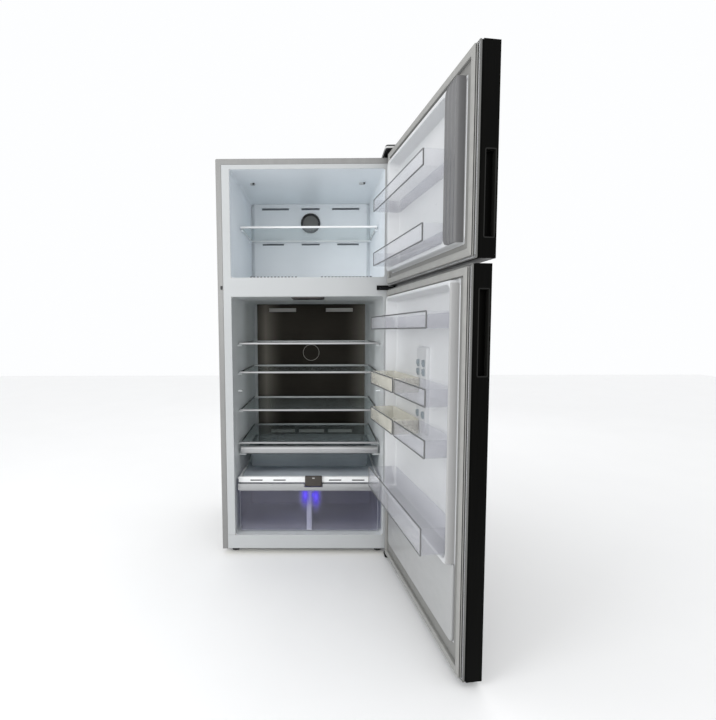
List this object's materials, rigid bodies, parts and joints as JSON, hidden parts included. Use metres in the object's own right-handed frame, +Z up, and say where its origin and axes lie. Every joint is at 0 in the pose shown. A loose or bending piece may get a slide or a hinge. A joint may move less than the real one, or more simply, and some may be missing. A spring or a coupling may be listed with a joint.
{
  "type": "top freezer refrigerator",
  "caption": "Free-standing refrigerator with the freezer above, both doors hinged on the right, glass shelves, a chiller drawer and a crisper, shown open.",
  "frame": {"origin": "on the floor under the middle of the whole object's box, as it stands with both doors open; the cabinet's own middle is 70 mm to the left of it and the cabinet's front plane 80 mm behind it", "axes": "+Z up, +X to the right seen from the front, +Y to the back of the cabinet, so the doors open towards -Y"},
  "size_m": [0.9701, 1.5231, 1.8814],
  "materials": {
    "side_steel": "satin",
    "zinc": "matte",
    "white_plastic": "satin",
    "liner_plastic": "satin",
    "foam": "matte",
    "black_steel": "satin",
    "brown_steel": "satin",
    "silver_trim": "satin",
    "black_plastic": "matte",
    "dark_plastic": "satin",
    "grey_plastic": "satin",
    "gasket_rubber": "matte",
    "clear_plastic": "gloss",
    "violet_plastic": "gloss",
    "shelf_glass": "gloss",
    "cast_black": "satin",
    "copper": "satin",
    "alloy": "satin"
  },
  "bodies": {
    "cabinet": {"steel_wrapper": "side_steel", "back_sheet": "zinc", "front_frame": "white_plastic", "base_panel": "white_plastic", "insulating_foam": "foam", "freezer_liner": "liner_plastic", "refrigerator_liner": "liner_plastic", "base_plate": "zinc", "compressor": "cast_black", "drip_pan": "black_plastic", "condenser_tube": "copper", "compressor_bay_cover": "zinc", "evaporator": "alloy", "freezer_duct_cover": "liner_plastic", "fan_outlet": "grey_plastic", "refrigerator_duct_cover": "brown_steel", "ceiling_lamp": "dark_plastic", "top_hinge": "black_steel", "top_hinge_cover": "black_plastic", "middle_hinge": "black_steel", "bottom_hinge": "black_steel", "crisper_cover_front": "white_plastic", "crisper_cover_glass": "shelf_glass", "crisper_lamp_housing": "dark_plastic", "freezer_shelf_edge": "white_plastic", "freezer_shelf_glass": "shelf_glass", "refrigerator_shelf_1_edge": "silver_trim", "refrigerator_shelf_1_glass": "shelf_glass", "refrigerator_shelf_2_edge": "silver_trim", "refrigerator_shelf_2_glass": "shelf_glass", "refrigerator_shelf_3_edge": "silver_trim", "refrigerator_shelf_3_glass": "shelf_glass", "refrigerator_shelf_4_edge": "silver_trim", "refrigerator_shelf_4_glass": "shelf_glass"},
    "chiller": {"chiller_drawer": "clear_plastic", "chiller_handle": "silver_trim"},
    "crisper": {"crisper_drawer": "violet_plastic", "crisper_handle": "silver_trim", "crisper_divider": "white_plastic"},
    "left_foot_body": {"left_foot": "black_plastic"},
    "right_foot_body": {"right_foot": "black_plastic"},
    "left_roller_body": {"left_roller": "black_plastic"},
    "right_roller_body": {"right_roller": "black_plastic"},
    "fan": {"evaporator_fan": "black_plastic"},
    "freezer_door": {"freezer_door_skin": "black_steel", "freezer_door_foam": "foam", "freezer_door_liner": "white_plastic", "freezer_door_gasket": "gasket_rubber", "freezer_bin_upper": "clear_plastic", "freezer_bin_lower": "clear_plastic"},
    "refrigerator_door": {"refrigerator_door_skin": "black_steel", "refrigerator_door_foam": "foam", "refrigerator_door_liner": "white_plastic", "refrigerator_door_gasket": "gasket_rubber", "door_bin_top": "clear_plastic", "door_bin_upper_hinge_side": "clear_plastic", "door_bin_upper_free_side": "clear_plastic", "door_bin_lower_hinge_side": "clear_plastic", "door_bin_lower_free_side": "clear_plastic", "door_bin_bottom": "clear_plastic"}
  },
  "joints": [
    {"name": "freezer_door_hinge", "type": "hinge", "parent": "cabinet", "child": "freezer_door", "pos_m": [0.324, 0.043, 1.56], "axis": [0, 0, 1], "range_deg": [-99, 16]},
    {"name": "refrigerator_door_hinge", "type": "hinge", "parent": "cabinet", "child": "refrigerator_door", "pos_m": [0.324, 0.043, 0.64], "axis": [0, 0, 1], "range_deg": [-98.3, 16.7]},
    {"name": "chiller_slide", "type": "slide", "parent": "cabinet", "child": "chiller", "axis": [0, -1, 0], "range_m": [0, 0.19]},
    {"name": "crisper_slide", "type": "slide", "parent": "cabinet", "child": "crisper", "axis": [0, -1, 0], "range_m": [0, 0.28]},
    {"name": "evaporator_fan_spin", "type": "hinge", "parent": "cabinet", "child": "fan", "pos_m": [-0.07, 0.688, 1.69], "axis": [0, 1, 0], "continuous": true},
    {"name": "left_roller_spin", "type": "hinge", "parent": "cabinet", "child": "left_roller_body", "pos_m": [-0.42, 0.71, 0.012], "axis": [1, 0, 0], "continuous": true},
    {"name": "right_roller_spin", "type": "hinge", "parent": "cabinet", "child": "right_roller_body", "pos_m": [0.28, 0.71, 0.012], "axis": [1, 0, 0], "continuous": true},
    {"name": "left_foot_turn", "type": "hinge", "parent": "cabinet", "child": "left_foot_body", "pos_m": [-0.43, 0.13, 0.012], "axis": [0, 0, 1], "continuous": true},
    {"name": "right_foot_turn", "type": "hinge", "parent": "cabinet", "child": "right_foot_body", "pos_m": [0.265, 0.13, 0.012], "axis": [0, 0, 1], "continuous": true}
  ]
}
